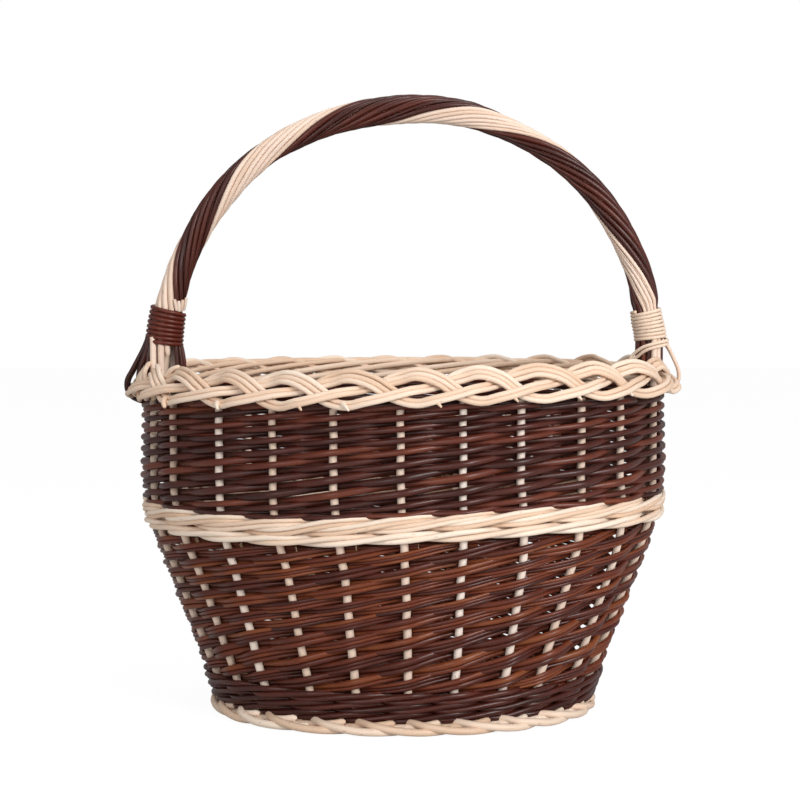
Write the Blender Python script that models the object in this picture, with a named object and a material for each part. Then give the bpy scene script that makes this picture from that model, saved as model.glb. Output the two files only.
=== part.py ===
"""Oval willow foraging basket with a twisted bow handle.

Metres, +Z up. X runs along the basket, under the handle, Y across it.
The foot stands on z = 0 and the origin is at the middle of the foot.
"""
import math

import bmesh
import bpy
from mathutils import Matrix, Vector

# Clearances
GAP = 0.0003                 # between pieces that touch
ROW_GAP = 0.0004             # between one row of weaving and the next

# Upright stakes, the frame of the wall
STAKE_COUNT = 24
STAKE_RADIUS = 0.0030

# Plan of the wall, measured to the middle of the stakes
WALL_HALF_LENGTH = 0.1915
WALL_HALF_WIDTH = 0.1445
FOOT_HALF_LENGTH = 0.1395
FOOT_HALF_WIDTH = 0.1050
BELLY_BEND_HEIGHT = 0.024    # height over which the flared wall turns upright

# Foot border
FOOT_HEIGHT = 0.0130
FOOT_WIDTH = 0.0210
FOOT_INSET = 0.0035          # middle of the foot border, inside the stakes

# Rows of weaving, from the foot to the rim
UPSETT_ROWS = 4
UPSETT_ROD_RADIUS = 0.00245
LOWER_ROWS = 16
LOWER_BUNDLE_HALF_HEIGHT = 0.0030
LOWER_BUNDLE_HALF_DEPTH = 0.0020
BELLY_ROWS = 4
BELLY_ROD_RADIUS = 0.00245
UPPER_ROWS = 18
UPPER_ROD_RADIUS = 0.00185

# Rim plait of three strands
PLAIT_HALF_WIDTH = 0.0180
PLAIT_STRAND_HALF_WIDTH = 0.0050
PLAIT_STRAND_HALF_DEPTH = 0.0031
PLAIT_OVERHANG = 0.0065      # middle of the plait, outside the stakes
PLAIT_SLOPE = math.radians(52.0)
PLAIT_STAKES_PER_TURN = 3    # stakes that a strand passes before it repeats
PLAIT_POINTS_PER_TURN = 6

# Base of crossed sticks
BASE_STICK_RADIUS = 0.0025
BASE_LONG_STICKS = 3
BASE_SHORT_STICKS = 5
BASE_CROTCH_RADIUS = 0.0052  # short sticks where the long ones pierce them
BASE_ROD_RADIUS = 0.0020
BASE_CROSSING_HALF_WIDTH = 0.0280  # least room that the weaving leaves round the crossing

# Bow handle
HANDLE_RISE = 0.1895         # middle of the bow above the top of the rim
HANDLE_CORE_RADIUS = 0.0062
HANDLE_RIM_CORE_RADIUS = 0.0054
HANDLE_TIP_RADIUS = 0.0028
HANDLE_ROD_RADIUS = 0.0020
HANDLE_RODS_OF_A_COLOUR = 6
HANDLE_TWIST_TURNS = 3
HANDLE_POINTS_PER_TURN = 8
HANDLE_INNER_TAIL = 0.0300   # rods that run on down inside the rim

# Bindings at the feet of the bow
BINDING_TURNS = 9
BINDING_RADIUS = 0.0014
BINDING_GAP = 0.0009
BINDING_POINTS_PER_TURN = 12
BINDING_LIFT = 0.0095        # lowest turn above the rim

TURN = 2.0 * math.pi
RIGHT, LEFT = 1, -1
OUTSIDE, INSIDE = 1, -1
PAIR = 2                     # weavers that follow each other round
MIDDLE_SHARE = 0.5           # middle of a row or a step, over its pitch
UP = Vector((0.0, 0.0, 1.0))

# Heights of the bands
UPSETT_PITCH = 2.0 * UPSETT_ROD_RADIUS + ROW_GAP
LOWER_PITCH = 2.0 * LOWER_BUNDLE_HALF_HEIGHT + ROW_GAP
BELLY_PITCH = 2.0 * BELLY_ROD_RADIUS + ROW_GAP
UPPER_PITCH = 2.0 * UPPER_ROD_RADIUS + ROW_GAP
UPSETT_BASE = FOOT_HEIGHT + GAP
LOWER_BASE = UPSETT_BASE + UPSETT_ROWS * UPSETT_PITCH
BELLY_BASE = LOWER_BASE + LOWER_ROWS * LOWER_PITCH
UPPER_BASE = BELLY_BASE + BELLY_ROWS * BELLY_PITCH
UPPER_TOP = UPPER_BASE + UPPER_ROWS * UPPER_PITCH

# Section of the plait
PLAIT_SWING = PLAIT_HALF_WIDTH - PLAIT_STRAND_HALF_WIDTH
PLAIT_WEAVE_DEPTH = (2.0 * PLAIT_STRAND_HALF_DEPTH + 3.0 * GAP) / math.sqrt(3.0)
PLAIT_HALF_DEPTH = PLAIT_WEAVE_DEPTH + PLAIT_STRAND_HALF_DEPTH
PLAIT_HALF_HEIGHT = PLAIT_HALF_WIDTH * math.sin(PLAIT_SLOPE)
PLAIT_CENTRE_HEIGHT = UPPER_TOP + GAP + PLAIT_HALF_HEIGHT
RIM_TOP = PLAIT_CENTRE_HEIGHT + PLAIT_HALF_HEIGHT
RIM_INSIDE = WALL_HALF_LENGTH + PLAIT_OVERHANG - PLAIT_HALF_WIDTH * math.cos(PLAIT_SLOPE)

# Stakes end just under the sloping face of the plait
STAKE_TOP = PLAIT_CENTRE_HEIGHT - (
    PLAIT_HALF_DEPTH + GAP + (STAKE_RADIUS - PLAIT_OVERHANG) * math.sin(PLAIT_SLOPE)
) / math.cos(PLAIT_SLOPE)

# The bow stands just inside the plait and its tips run down beside the end stakes
HANDLE_HALF_SPAN = RIM_INSIDE - GAP - HANDLE_RIM_CORE_RADIUS
HANDLE_RODS = 2 * HANDLE_RODS_OF_A_COLOUR
HANDLE_STEP = TURN / HANDLE_POINTS_PER_TURN
HANDLE_RING_RADIUS = (HANDLE_CORE_RADIUS + HANDLE_ROD_RADIUS + GAP) / math.cos(HANDLE_STEP / 2.0)
HANDLE_TIP_END = UPPER_BASE + GAP
TIP_AND_STAKE_REACH = (STAKE_RADIUS + HANDLE_TIP_RADIUS + GAP) / 2.0
BINDING_PITCH = 2.0 * BINDING_RADIUS + BINDING_GAP
BINDING_LENGTH = BINDING_TURNS * BINDING_PITCH

# Wall outline: height, half length and half width to the middle of the stakes
BELLY_MIDDLE = (BELLY_BASE + UPPER_BASE) / 2.0
BEND_START = BELLY_MIDDLE - BELLY_BEND_HEIGHT / 2.0
BEND_END = BELLY_MIDDLE + BELLY_BEND_HEIGHT / 2.0
FLARE_SHARE = (BEND_START - UPSETT_BASE) / (BELLY_MIDDLE - UPSETT_BASE)


def mix(first, last, share):
    return first + (last - first) * share


WALL_OUTLINE = (
    (UPSETT_BASE, FOOT_HALF_LENGTH, FOOT_HALF_WIDTH),
    (
        BEND_START,
        mix(FOOT_HALF_LENGTH, WALL_HALF_LENGTH, FLARE_SHARE),
        mix(FOOT_HALF_WIDTH, WALL_HALF_WIDTH, FLARE_SHARE),
    ),
    (BEND_END, WALL_HALF_LENGTH, WALL_HALF_WIDTH),
)


def clear_scene():
    for item in list(bpy.data.objects):
        bpy.data.objects.remove(item, do_unlink=True)


def make_material(name, colour, roughness):
    material = bpy.data.materials.new(name)
    material.use_nodes = True
    shader = material.node_tree.nodes["Principled BSDF"]
    shader.inputs["Base Color"].default_value = (*colour, 1.0)
    shader.inputs["Roughness"].default_value = roughness
    shader.inputs["Metallic"].default_value = 0.0
    return material


def finish(item, material):
    item.data.materials.append(material)
    bpy.context.scene.collection.objects.link(item)
    return item


def make_guide(name, data):
    guide = bpy.data.objects.new(name, data)
    guide.hide_render = True
    guide.display_type = "WIRE"
    bpy.context.scene.collection.objects.link(guide)
    return guide


def make_section(name, corners):
    """A closed outline that a curve carries along; x points out, y up."""
    data = bpy.data.curves.new(name, "CURVE")
    spline = data.splines.new("POLY")
    spline.points.add(len(corners) - 1)
    for point, (across, high) in zip(spline.points, reversed(corners)):
        point.co = (across, high, 0.0, 1.0)
    spline.use_cyclic_u = True
    return make_guide(name, data)


def make_diamond(name, half_depth, half_height):
    corners = ((half_depth, 0.0), (0.0, half_height), (-half_depth, 0.0), (0.0, -half_height))
    return make_section(name, corners)


def make_path(name, points, closed=False, radii=None, tilt=0.0):
    data = bpy.data.curves.new(name, "CURVE")
    data.dimensions = "3D"
    data.use_fill_caps = True
    spline = data.splines.new("POLY")
    spline.points.add(len(points) - 1)
    for index, place in enumerate(points):
        spline.points[index].co = (*place, 1.0)
        spline.points[index].tilt = tilt
        if radii:
            spline.points[index].radius = radii[index]
    spline.use_cyclic_u = closed
    spline.use_smooth = True
    return data


def make_rod(name, material, points, radius, resolution, radii=None):
    """A round rod; bevel resolution 0 gives 4 sides, 1 gives 6 and 2 gives 8."""
    data = make_path(name, points, radii=radii)
    data.bevel_depth = radius
    data.bevel_resolution = resolution
    return finish(bpy.data.objects.new(name, data), material)


def turn_to_mesh(rod):
    """The same rod as a mesh object, which can be cut."""
    bpy.context.view_layer.update()
    name = rod.name
    mesh = bpy.data.meshes.new_from_object(rod)
    bpy.data.objects.remove(rod, do_unlink=True)
    item = bpy.data.objects.new(name, mesh)
    bpy.context.scene.collection.objects.link(item)
    return item


def make_strip(name, material, points, section, closed=False, tilt=0.0):
    """A rod whose section stays upright, as rows laid on each other do."""
    data = make_path(name, points, closed=closed, tilt=tilt)
    data.twist_mode = "Z_UP"
    data.bevel_mode = "OBJECT"
    data.bevel_object = section
    return finish(bpy.data.objects.new(name, data), material)


def oval_point(angle, half_length, half_width):
    return Vector((half_length * math.cos(angle), half_width * math.sin(angle), 0.0))


def oval_normal(angle, half_length, half_width):
    return Vector((half_width * math.cos(angle), half_length * math.sin(angle), 0.0)).normalized()


SAMPLES_PER_STEP = 200


def even_angles(count, half_length, half_width):
    """Angles of points that lie equally far apart round an oval, from +X."""
    samples = SAMPLES_PER_STEP * count
    lengths = [0.0]
    before = oval_point(0.0, half_length, half_width)
    for sample in range(1, samples + 1):
        here = oval_point(TURN * sample / samples, half_length, half_width)
        lengths.append(lengths[-1] + (here - before).length)
        before = here
    angles = []
    sample = 0
    for index in range(count):
        wanted = lengths[-1] * index / count
        while lengths[sample + 1] < wanted:
            sample += 1
        share = (wanted - lengths[sample]) / (lengths[sample + 1] - lengths[sample])
        angles.append(TURN * (sample + share) / samples)
    return angles


STAKE_ANGLES = even_angles(STAKE_COUNT, WALL_HALF_LENGTH, WALL_HALF_WIDTH)
END_STAKES = (0, STAKE_COUNT // 2)


def wall_size(height):
    """Half length and half width of the wall at a height."""
    lower, upper = WALL_OUTLINE[0], WALL_OUTLINE[1]
    if height > upper[0]:
        lower, upper = WALL_OUTLINE[1], WALL_OUTLINE[2]
    share = (height - lower[0]) / (upper[0] - lower[0])
    share = min(share, 1.0)
    return mix(lower[1], upper[1], share), mix(lower[2], upper[2], share)


def stake_point(index, height):
    """Middle of a stake. An end stake makes room for the tip of the bow."""
    angle = STAKE_ANGLES[index]
    size = wall_size(height)
    place = oval_point(angle, *size) + height * UP
    if index in END_STAKES:
        place += UP.cross(oval_normal(angle, *size)) * TIP_AND_STAKE_REACH
    return place


def tip_point(index, height):
    """Middle of the bow's tip beside an end stake."""
    angle = STAKE_ANGLES[index]
    size = wall_size(height)
    place = oval_point(angle, *size) + height * UP
    return place - UP.cross(oval_normal(angle, *size)) * TIP_AND_STAKE_REACH


def make_stakes(material):
    lean = math.atan2(WALL_HALF_LENGTH - FOOT_HALF_LENGTH, BELLY_MIDDLE - UPSETT_BASE)
    bends = [line[0] for line in WALL_OUTLINE]
    bends[0] += STAKE_RADIUS * math.sin(lean)
    for index in range(STAKE_COUNT):
        top = UPPER_TOP if index in END_STAKES else STAKE_TOP
        points = [stake_point(index, height) for height in (*bends, top)]
        make_rod(f"stake_{index + 1:02d}", material, points, STAKE_RADIUS, 1)


LACE_PASSES = 8              # rounds of fitting the stand-off of a rod


def lace(posts, half_depth):
    """Points of a rod that passes posts on the side given for each.

    A post is its middle, its axis, the way out from it, its side and its
    radius. The rod stands off far enough for its slanting runs to clear it.
    """
    reaches = [radius + half_depth + GAP for _, _, _, _, radius in posts]
    offsets = list(reaches)
    for _ in range(LACE_PASSES):
        points = [
            middle + out * side * offset
            for (middle, _, out, side, _), offset in zip(posts, offsets)
        ]
        for index, (_, axis, out, _, _) in enumerate(posts):
            leans = []
            for beside in (index - 1, index + 1):
                if 0 <= beside < len(posts):
                    square = axis.cross(points[beside] - points[index]).normalized()
                    leans.append(abs(out.dot(square)))
            offsets[index] = reaches[index] / min(leans)
    return [
        middle + out * side * offset
        for (middle, _, out, side, _), offset in zip(posts, offsets)
    ]


def wall_posts(base, pitch, rows, first_row, rise, seam, side_of):
    """Posts that one weaver passes as it goes round the wall.

    The rows are level. Over the last stakes of each round, given by seam,
    the weaver rises to its next row. The seam is in the middle of the back.
    """
    start = STAKE_COUNT // 4 + 1
    rounds = (rows - first_row + rise - 1) // rise
    posts = []
    for number in range(rounds):
        for step in range(STAKE_COUNT):
            climb = max(0.0, (step + seam - STAKE_COUNT) / seam)
            if number == rounds - 1 and climb > 0.0:
                break
            index = (start + step) % STAKE_COUNT
            height = base + pitch * (MIDDLE_SHARE + first_row + rise * (number + climb))
            side = side_of(step, number)
            size = wall_size(height)
            out = oval_normal(STAKE_ANGLES[index], *size)
            axis = (stake_point(index, height + pitch) - stake_point(index, height)).normalized()
            if index in END_STAKES and height > HANDLE_TIP_END:
                posts.append((tip_point(index, height), UP, out, side, HANDLE_TIP_RADIUS))
            posts.append((stake_point(index, height), axis, out, side, STAKE_RADIUS))
    return posts


def alternate_sides(first_side):
    """Outside one stake, inside the next."""
    def side_of(step, number):
        return first_side if step % 2 == 0 else -first_side
    return side_of


def wale_sides(step, number):
    """Outside two stakes, inside the third, one stake on in each round."""
    return INSIDE if (step + number) % 3 == 0 else OUTSIDE


def make_pair_band(name, material, section, half_depth, base, pitch, rows):
    """Plain weaving with two long weavers that follow each other round."""
    for row, letter, first_side in ((0, "a", OUTSIDE), (1, "b", INSIDE)):
        posts = wall_posts(base, pitch, rows, row, PAIR, PAIR, alternate_sides(first_side))
        make_strip(f"{name}_weaver_{letter}", material, lace(posts, half_depth), section)


def make_wale(name, material, section, half_depth, base, pitch, rows):
    posts = wall_posts(base, pitch, rows, 0, 1, 1, wale_sides)
    make_strip(f"{name}_wale", material, lace(posts, half_depth), section)


def make_plait(material):
    """Three closed strands, each crossing over and under the other two."""
    strands = 3
    per_turn = PLAIT_POINTS_PER_TURN
    count = STAKE_COUNT * per_turn // PLAIT_STAKES_PER_TURN
    angles = even_angles(count, WALL_HALF_LENGTH, WALL_HALF_WIDTH)
    section = make_diamond("plait_section", PLAIT_STRAND_HALF_DEPTH, PLAIT_STRAND_HALF_WIDTH)
    for strand in range(strands):
        points = []
        for index, angle in enumerate(angles):
            phase = TURN * (index / per_turn + strand / strands)
            down = -PLAIT_SWING * math.cos(phase)
            lift = PLAIT_WEAVE_DEPTH * math.sin(2.0 * phase)
            out = PLAIT_OVERHANG + down * math.cos(PLAIT_SLOPE) + lift * math.sin(PLAIT_SLOPE)
            high = PLAIT_CENTRE_HEIGHT - down * math.sin(PLAIT_SLOPE) + lift * math.cos(PLAIT_SLOPE)
            place = oval_point(angle, WALL_HALF_LENGTH, WALL_HALF_WIDTH)
            place += oval_normal(angle, WALL_HALF_LENGTH, WALL_HALF_WIDTH) * out
            points.append(place + high * UP)
        make_strip(
            f"rim_plait_strand_{strand + 1}", material, points, section,
            closed=True, tilt=PLAIT_SLOPE - math.pi / 2.0,
        )


def make_foot(material):
    """Ring under the stakes, flat where it stands."""
    half = FOOT_WIDTH / 2.0
    chamfer_share = 0.3
    chamfer = FOOT_HEIGHT * chamfer_share
    corners = (
        (half - chamfer, 0.0),
        (half, FOOT_HEIGHT / 2.0),
        (half - chamfer, FOOT_HEIGHT),
        (chamfer - half, FOOT_HEIGHT),
        (-half, FOOT_HEIGHT / 2.0),
        (chamfer - half, 0.0),
    )
    section = make_section("foot_section", corners)
    size = (FOOT_HALF_LENGTH - FOOT_INSET, FOOT_HALF_WIDTH - FOOT_INSET)
    points = [oval_point(angle, *size) for angle in even_angles(2 * STAKE_COUNT, *size)]
    make_strip("foot_border", material, points, section, closed=True)


# Base: its sticks fan out from a small crossing, and rounds of weaving hold them
BASE_SPOKES = 2 * (BASE_LONG_STICKS + BASE_SHORT_STICKS)
BASE_EDGE = STAKE_RADIUS + 2.0 * UPSETT_ROD_RADIUS + 3.0 * GAP
BASE_HALF_LENGTH = FOOT_HALF_LENGTH - BASE_EDGE
BASE_HALF_WIDTH = FOOT_HALF_WIDTH - BASE_EDGE
OVAL_CLOSENESS_SHARE = 0.92  # nearest that two ovals come, over their pitch
BASE_PITCH = (2.0 * BASE_ROD_RADIUS + ROW_GAP) / OVAL_CLOSENESS_SHARE
BASE_ROUNDS = PAIR * int((BASE_HALF_WIDTH - BASE_CROSSING_HALF_WIDTH) / (PAIR * BASE_PITCH) - 1.0)
BASE_REACH = BASE_STICK_RADIUS + BASE_ROD_RADIUS + GAP
BASE_LEVEL = FOOT_HEIGHT + 2.0 * GAP + BASE_REACH + BASE_ROD_RADIUS
CROSSING_IN = BASE_PITCH * (BASE_ROUNDS + PAIR)
FLARE_AT_BASE = wall_size(BASE_LEVEL)[1] - FOOT_HALF_WIDTH


def spoke_point(spoke, inward):
    """Point on a stick of the base, a distance in from the edge."""
    angle = TURN * spoke / BASE_SPOKES
    return oval_point(angle, BASE_HALF_LENGTH - inward, BASE_HALF_WIDTH - inward) + BASE_LEVEL * UP


def make_base_sticks(material):
    half_long = BASE_LONG_STICKS // 2
    half_short = BASE_SHORT_STICKS // 2
    half_turn = BASE_SPOKES // 2
    quarter = BASE_SPOKES // 4
    for number in range(-half_long, half_long + 1):
        ends = (number, half_turn - number)
        points = [spoke_point(ends[0], -FLARE_AT_BASE), spoke_point(ends[0], CROSSING_IN)]
        points += [spoke_point(ends[1], CROSSING_IN), spoke_point(ends[1], -FLARE_AT_BASE)]
        name = f"base_long_stick_{number + half_long + 1}"
        make_rod(name, material, points, BASE_STICK_RADIUS, 1)
    row = spoke_point(half_long, CROSSING_IN).y
    slot_half_width = row + BASE_STICK_RADIUS + GAP
    slot_half_height = BASE_STICK_RADIUS + GAP
    cutter = make_slot_cutter(slot_half_width, slot_half_height)
    swell = BASE_CROTCH_RADIUS / BASE_STICK_RADIUS
    for number in range(-half_short, half_short + 1):
        ends = (quarter - number, number - quarter)
        points, radii = [], []
        for end, way in ((ends[0], 1), (ends[1], -1)):
            inner = spoke_point(end, CROSSING_IN)
            reach = slot_half_width + BASE_CROTCH_RADIUS / 2.0
            shoulder = Vector((inner.x, way * reach, BASE_LEVEL))
            half = [spoke_point(end, -FLARE_AT_BASE), inner, shoulder]
            sizes = [1.0, 1.0, swell]
            if way < 0:
                half.reverse()
                sizes.reverse()
            points += half
            radii += sizes
        name = f"base_short_stick_{number + half_short + 1}"
        stick = turn_to_mesh(make_rod(name, material, points, BASE_STICK_RADIUS, 1, radii=radii))
        slot = stick.modifiers.new("slot", "BOOLEAN")
        slot.object = cutter


def make_slot_cutter(half_width, half_height):
    """Box that opens the slits through which the long sticks pass."""
    size = Matrix.Diagonal((2.0 * BASE_HALF_LENGTH, 2.0 * half_width, 2.0 * half_height, 1.0))
    box = bmesh.new()
    bmesh.ops.create_cube(box, size=1.0, matrix=Matrix.Translation(BASE_LEVEL * UP) @ size)
    mesh = bpy.data.meshes.new("slot_cutter")
    box.to_mesh(mesh)
    box.free()
    return make_guide("slot_cutter", mesh)


def make_base_weaving(material):
    start = BASE_SPOKES // 4
    section = make_diamond("base_section", BASE_ROD_RADIUS, BASE_ROD_RADIUS)
    for row, letter, first_side in ((0, "a", OUTSIDE), (1, "b", INSIDE)):
        posts = []
        rounds = BASE_ROUNDS // PAIR
        for number in range(rounds):
            for step in range(BASE_SPOKES):
                last = step == BASE_SPOKES - 1
                if last and number == rounds - 1:
                    break
                climb = MIDDLE_SHARE if last else 0.0
                done = row + PAIR * (number + climb) + MIDDLE_SHARE
                inward = BASE_PITCH * (BASE_ROUNDS - done)
                spoke = (start + step) % BASE_SPOKES
                middle = spoke_point(spoke, inward)
                axis = (spoke_point(spoke, 0.0) - middle).normalized()
                side = first_side if step % 2 == 0 else -first_side
                posts.append((middle, axis, UP, side, BASE_STICK_RADIUS))
        points = lace(posts, BASE_ROD_RADIUS)
        make_strip(f"base_weaver_{letter}", material, points, section)


def bow_point(angle):
    """Middle of the bow, from the right foot at 0 to the left foot at pi."""
    across = HANDLE_HALF_SPAN * math.cos(angle)
    return Vector((across, 0.0, RIM_TOP + HANDLE_RISE * math.sin(angle)))


def bow_out(angle):
    """Unit vector away from the inside of the bow, square to it."""
    return Vector((HANDLE_RISE * math.cos(angle), 0.0, HANDLE_HALF_SPAN * math.sin(angle))).normalized()


# The twist runs between the tops of the two bindings
TWIST_START = math.asin((BINDING_LIFT + BINDING_LENGTH) / HANDLE_RISE)


def bow_stations():
    """Angles along the bow and the share of the whole twist at each."""
    steps = HANDLE_TWIST_TURNS * HANDLE_POINTS_PER_TURN
    stations = [(0.0, 0.0), (TWIST_START / 2.0, 0.0)]
    for step in range(steps + 1):
        share = step / steps
        stations.append((mix(TWIST_START, math.pi - TWIST_START, share), share))
    stations += [(math.pi - TWIST_START / 2.0, 1.0), (math.pi, 1.0)]
    return stations


def make_handle_core(material):
    stations = bow_stations()
    points = [bow_point(angle) for angle, _ in stations]
    radii = [HANDLE_CORE_RADIUS] * len(points)
    radii[0] = radii[-1] = HANDLE_RIM_CORE_RADIUS
    neck_share = 0.45
    neck_out_share = 0.30
    neck_height = mix(RIM_TOP, UPPER_TOP, neck_share)
    neck_radius = mix(HANDLE_RIM_CORE_RADIUS, HANDLE_TIP_RADIUS, neck_share)
    legs = []
    for index, side in zip(END_STAKES, (RIGHT, LEFT)):
        foot = tip_point(index, UPPER_TOP)
        shoulder = Vector((side * HANDLE_HALF_SPAN, 0.0, RIM_TOP))
        neck = shoulder.lerp(foot, neck_out_share)
        neck.z = neck_height
        legs.append([neck, foot, tip_point(index, HANDLE_TIP_END)])
    leg_radii = [neck_radius, HANDLE_TIP_RADIUS, HANDLE_TIP_RADIUS]
    points = legs[0][::-1] + points + legs[1]
    radii = leg_radii[::-1] + radii + leg_radii
    shares = [radius / HANDLE_CORE_RADIUS for radius in radii]
    make_rod("handle_core", material, points, HANDLE_CORE_RADIUS, 1, radii=shares)


def make_handle_rods(brown, pale):
    """Rods laid side by side round the core, half of them of each colour."""
    for slot in range(HANDLE_RODS):
        is_brown = slot < HANDLE_RODS_OF_A_COLOUR
        number = slot % HANDLE_RODS_OF_A_COLOUR + 1
        name = f"handle_brown_rod_{number}" if is_brown else f"handle_pale_rod_{number}"
        start = TURN * (slot + MIDDLE_SHARE) / HANDLE_RODS
        points = []
        for angle, share in bow_stations():
            turned = start - TURN * HANDLE_TWIST_TURNS * share
            out = bow_out(angle) * math.cos(turned) + Vector((0.0, math.sin(turned), 0.0))
            points.append(bow_point(angle) + out * HANDLE_RING_RADIUS)
        if math.cos(start) < 0.0:
            tail = -HANDLE_INNER_TAIL * UP
            points = [points[0] + tail] + points + [points[-1] + tail]
        else:
            points[0].z += GAP
            points[-1].z += GAP
        make_rod(name, brown if is_brown else pale, points, HANDLE_ROD_RADIUS, 0)


def binding_points(side):
    """A helix round the foot of the bow with a straight start and end."""
    half_step = math.pi / BINDING_POINTS_PER_TURN
    bundle = HANDLE_RING_RADIUS + HANDLE_ROD_RADIUS
    radius = (bundle + BINDING_RADIUS + GAP) / math.cos(half_step)
    count = BINDING_TURNS * BINDING_POINTS_PER_TURN
    points = []
    for index in range(count + 1):
        height = BINDING_LIFT + BINDING_RADIUS + BINDING_PITCH * index / BINDING_POINTS_PER_TURN
        angle = math.asin(height / HANDLE_RISE)
        turned = TURN * index / BINDING_POINTS_PER_TURN
        middle = bow_point(angle)
        out = bow_out(angle) * math.cos(turned) + Vector((0.0, math.sin(turned), 0.0))
        place = middle + out * radius
        points.append(Vector((side * place.x, side * place.y, place.z)))
    stub = 2.0 * BINDING_RADIUS
    points.insert(0, points[0] + (points[0] - points[1]).normalized() * stub)
    points.append(points[-1] + (points[-1] - points[-2]).normalized() * stub)
    return points


def least_self_gap(points, radius):
    """Least clear distance between turns, measured on the points."""
    skip = BINDING_POINTS_PER_TURN // 2
    least = (points[0] - points[-1]).length
    for index, place in enumerate(points):
        for other in points[index + skip:]:
            least = min(least, (place - other).length)
    return least - 2.0 * radius


def make_bindings(brown, pale):
    for name, material, side in (("left_binding", brown, LEFT), ("right_binding", pale, RIGHT)):
        points = binding_points(side)
        make_rod(name, material, points, BINDING_RADIUS, 1)
        print(f"{name}: least gap to itself {1000.0 * least_self_gap(points, BINDING_RADIUS):.2f} mm")


def main():
    clear_scene()
    dark = make_material("dark_brown_willow", (0.085, 0.030, 0.022), 0.5)
    russet = make_material("russet_willow", (0.160, 0.050, 0.025), 0.5)
    pale = make_material("peeled_willow", (0.760, 0.600, 0.400), 0.55)
    cream = make_material("cream_willow", (0.820, 0.680, 0.490), 0.55)
    reddish = make_material("reddish_willow", (0.180, 0.040, 0.025), 0.5)

    make_foot(pale)
    make_base_sticks(pale)
    make_base_weaving(russet)
    make_stakes(cream)
    upsett = make_diamond("upsett_section", UPSETT_ROD_RADIUS, UPSETT_ROD_RADIUS)
    lower = make_diamond("lower_section", LOWER_BUNDLE_HALF_DEPTH, LOWER_BUNDLE_HALF_HEIGHT)
    belly = make_diamond("belly_section", BELLY_ROD_RADIUS, BELLY_ROD_RADIUS)
    upper = make_diamond("upper_section", UPPER_ROD_RADIUS, UPPER_ROD_RADIUS)
    make_wale("upsett", dark, upsett, UPSETT_ROD_RADIUS, UPSETT_BASE, UPSETT_PITCH, UPSETT_ROWS)
    make_pair_band(
        "lower", russet, lower, LOWER_BUNDLE_HALF_DEPTH, LOWER_BASE, LOWER_PITCH, LOWER_ROWS
    )
    make_wale("belly", pale, belly, BELLY_ROD_RADIUS, BELLY_BASE, BELLY_PITCH, BELLY_ROWS)
    make_pair_band("upper", dark, upper, UPPER_ROD_RADIUS, UPPER_BASE, UPPER_PITCH, UPPER_ROWS)
    make_plait(pale)
    make_handle_core(pale)
    make_handle_rods(dark, cream)
    make_bindings(reddish, pale)


main()
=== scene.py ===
import math
import random

import bmesh
import bpy
import numpy as np
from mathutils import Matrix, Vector


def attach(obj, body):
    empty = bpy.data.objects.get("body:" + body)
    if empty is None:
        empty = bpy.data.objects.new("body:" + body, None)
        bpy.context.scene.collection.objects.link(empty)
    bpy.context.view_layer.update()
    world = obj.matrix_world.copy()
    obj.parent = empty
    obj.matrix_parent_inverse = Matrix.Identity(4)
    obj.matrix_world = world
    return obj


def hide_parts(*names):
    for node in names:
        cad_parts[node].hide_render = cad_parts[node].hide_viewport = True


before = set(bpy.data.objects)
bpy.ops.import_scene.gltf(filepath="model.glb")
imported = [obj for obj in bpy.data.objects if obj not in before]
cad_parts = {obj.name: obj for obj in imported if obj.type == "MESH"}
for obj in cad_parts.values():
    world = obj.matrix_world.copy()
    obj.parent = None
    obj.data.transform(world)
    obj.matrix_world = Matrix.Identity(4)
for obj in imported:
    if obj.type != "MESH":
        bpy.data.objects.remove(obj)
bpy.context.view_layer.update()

print("frame loaded,", len(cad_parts), "nodes")

# Metres, z up. x runs along the basket under the handle, the front faces -y.
up = Vector((0, 0, 1))
fullTurn = 2 * math.pi
chance = random.Random(651)


def inScene(name, data):
    made = bpy.data.objects.new(name, data)
    bpy.context.scene.collection.objects.link(made)
    return made


def meshPiece(name, mesh, material):
    data = bpy.data.meshes.new(name)
    mesh.to_mesh(data)
    mesh.free()
    data.materials.append(material)
    return inScene(name, data)


# Shader graphs

class Wire:
    # a socket that Python can add, multiply and subtract
    def __init__(self, graph, socket):
        self.graph = graph
        self.socket = socket

    def __add__(self, other):
        return self.graph.maths("ADD", self, other)

    def __sub__(self, other):
        return self.graph.maths("SUBTRACT", self, other)

    def __rsub__(self, other):
        return self.graph.maths("SUBTRACT", other, self)

    def __mul__(self, other):
        return self.graph.maths("MULTIPLY", self, other)

    __radd__ = __add__
    __rmul__ = __mul__


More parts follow.
